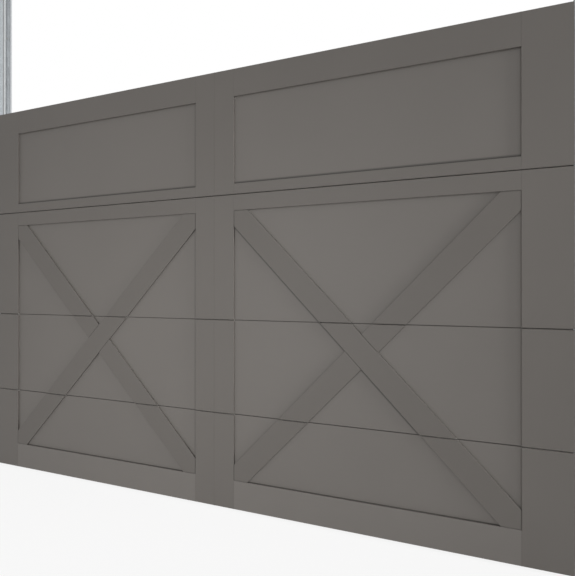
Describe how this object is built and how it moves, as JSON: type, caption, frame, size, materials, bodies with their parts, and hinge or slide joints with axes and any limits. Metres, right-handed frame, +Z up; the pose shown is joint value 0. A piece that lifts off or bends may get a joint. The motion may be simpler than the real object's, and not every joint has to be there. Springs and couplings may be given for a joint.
{
  "type": "carriage garage door",
  "caption": "Sectional garage door with overlay boards and crossed braces, in plumb tracks with rollers, hinges, lift cables and a torsion-spring shaft.",
  "frame": {"origin": "on the floor, under the middle of the shut leaf's width and thickness", "axes": "+Z up, -Y towards the street, +X to the right as seen from the street"},
  "size_m": [3.2818, 0.1599, 4.4566],
  "materials": {
    "panel_paint": "satin",
    "board_paint": "satin",
    "inside_paint": "satin",
    "foam": "matte",
    "galvanised": "satin",
    "track_steel": "satin",
    "zinc_steel": "satin",
    "extrusion": "satin",
    "seal_rubber": "matte",
    "nylon": "satin",
    "wire_rope": "satin",
    "spring_steel": "satin",
    "cast_alloy": "satin",
    "cone_paint": "satin"
  },
  "bodies": {
    "frame": {"lift_cables": "wire_rope", "left_track": "track_steel", "right_track": "track_steel", "left_wall_angle": "track_steel", "right_wall_angle": "track_steel", "bearing_plates": "galvanised", "shaft_bearings": "zinc_steel", "centre_bracket": "galvanised", "spring_anchors": "cast_alloy", "torsion_springs": "spring_steel"},
    "leaf": {"bottom_front_skin": "panel_paint", "bottom_core": "foam", "bottom_back_skin": "inside_paint", "bottom_stile_plates": "galvanised", "bottom_stile_boards": "board_paint", "lower_front_skin": "panel_paint", "lower_core": "foam", "lower_back_skin": "inside_paint", "lower_stile_plates": "galvanised", "lower_stile_boards": "board_paint", "upper_front_skin": "panel_paint", "upper_core": "foam", "upper_back_skin": "inside_paint", "upper_stile_plates": "galvanised", "upper_stile_boards": "board_paint", "top_front_skin": "panel_paint", "top_core": "foam", "top_back_skin": "inside_paint", "top_stile_plates": "galvanised", "top_stile_boards": "board_paint", "top_rail_boards": "board_paint", "upper_rail_boards": "board_paint", "bottom_rail_boards": "board_paint", "upper_brace_boards": "board_paint", "lower_brace_boards": "board_paint", "bottom_brace_boards": "board_paint", "seal_retainer": "extrusion", "bottom_seal": "seal_rubber", "struts": "galvanised", "lift_handle": "galvanised", "end_hinges": "galvanised", "centre_hinges": "galvanised", "hinge_flaps": "galvanised", "hinge_pins": "zinc_steel", "bottom_brackets": "galvanised", "top_brackets": "galvanised", "roller_stems": "zinc_steel"},
    "left_roller_1": {"left_roller_1": "nylon"},
    "right_roller_1": {"right_roller_1": "nylon"},
    "left_roller_2": {"left_roller_2": "nylon"},
    "right_roller_2": {"right_roller_2": "nylon"},
    "left_roller_3": {"left_roller_3": "nylon"},
    "right_roller_3": {"right_roller_3": "nylon"},
    "left_roller_4": {"left_roller_4": "nylon"},
    "right_roller_4": {"right_roller_4": "nylon"},
    "left_roller_5": {"left_roller_5": "nylon"},
    "right_roller_5": {"right_roller_5": "nylon"},
    "shaft": {"torsion_shaft": "zinc_steel", "cable_drums": "cast_alloy", "winding_cones": "cone_paint"}
  },
  "joints": [
    {"name": "lift", "type": "slide", "parent": "frame", "child": "leaf", "axis": [0, 0, 1], "range_m": [0, 2.13], "deforming": ["lift_cables"]},
    {"name": "left_roller_1_roll", "type": "hinge", "parent": "leaf", "child": "left_roller_1", "pos_m": [-1.558, 0.04725, 0.112], "axis": [1, 0, 0], "range_deg": [0, 5200]},
    {"name": "right_roller_1_roll", "type": "hinge", "parent": "leaf", "child": "right_roller_1", "pos_m": [1.558, 0.04725, 0.112], "axis": [1, 0, 0], "range_deg": [0, 5200]},
    {"name": "left_roller_2_roll", "type": "hinge", "parent": "leaf", "child": "left_roller_2", "pos_m": [-1.558, 0.04725, 0.4692], "axis": [1, 0, 0], "range_deg": [0, 5200]},
    {"name": "right_roller_2_roll", "type": "hinge", "parent": "leaf", "child": "right_roller_2", "pos_m": [1.558, 0.04725, 0.4692], "axis": [1, 0, 0], "range_deg": [0, 5200]},
    {"name": "left_roller_3_roll", "type": "hinge", "parent": "leaf", "child": "left_roller_3", "pos_m": [-1.558, 0.04725, 0.9264], "axis": [1, 0, 0], "range_deg": [0, 5200]},
    {"name": "right_roller_3_roll", "type": "hinge", "parent": "leaf", "child": "right_roller_3", "pos_m": [1.558, 0.04725, 0.9264], "axis": [1, 0, 0], "range_deg": [0, 5200]},
    {"name": "left_roller_4_roll", "type": "hinge", "parent": "leaf", "child": "left_roller_4", "pos_m": [-1.558, 0.04725, 1.536], "axis": [1, 0, 0], "range_deg": [0, 5200]},
    {"name": "right_roller_4_roll", "type": "hinge", "parent": "leaf", "child": "right_roller_4", "pos_m": [1.558, 0.04725, 1.536], "axis": [1, 0, 0], "range_deg": [0, 5200]},
    {"name": "left_roller_5_roll", "type": "hinge", "parent": "leaf", "child": "left_roller_5", "pos_m": [-1.558, 0.04725, 2.0816], "axis": [1, 0, 0], "range_deg": [0, 5200]},
    {"name": "right_roller_5_roll", "type": "hinge", "parent": "leaf", "child": "right_roller_5", "pos_m": [1.558, 0.04725, 2.0816], "axis": [1, 0, 0], "range_deg": [0, 5200]},
    {"name": "shaft_turn", "type": "hinge", "parent": "frame", "child": "shaft", "pos_m": [0, 0.0649, 4.3966], "axis": [1, 0, 0], "range_deg": [-2320, 0]}
  ],
  "couplings": [
    {"joint": "left_roller_1_roll", "follows": "lift", "rad_per_m": 42.553},
    {"joint": "right_roller_1_roll", "follows": "lift", "rad_per_m": 42.553},
    {"joint": "left_roller_2_roll", "follows": "lift", "rad_per_m": 42.553},
    {"joint": "right_roller_2_roll", "follows": "lift", "rad_per_m": 42.553},
    {"joint": "left_roller_3_roll", "follows": "lift", "rad_per_m": 42.553},
    {"joint": "right_roller_3_roll", "follows": "lift", "rad_per_m": 42.553},
    {"joint": "left_roller_4_roll", "follows": "lift", "rad_per_m": 42.553},
    {"joint": "right_roller_4_roll", "follows": "lift", "rad_per_m": 42.553},
    {"joint": "left_roller_5_roll", "follows": "lift", "rad_per_m": 42.553},
    {"joint": "right_roller_5_roll", "follows": "lift", "rad_per_m": 42.553},
    {"joint": "shaft_turn", "follows": "lift", "rad_per_m": -18.904}
  ]
}
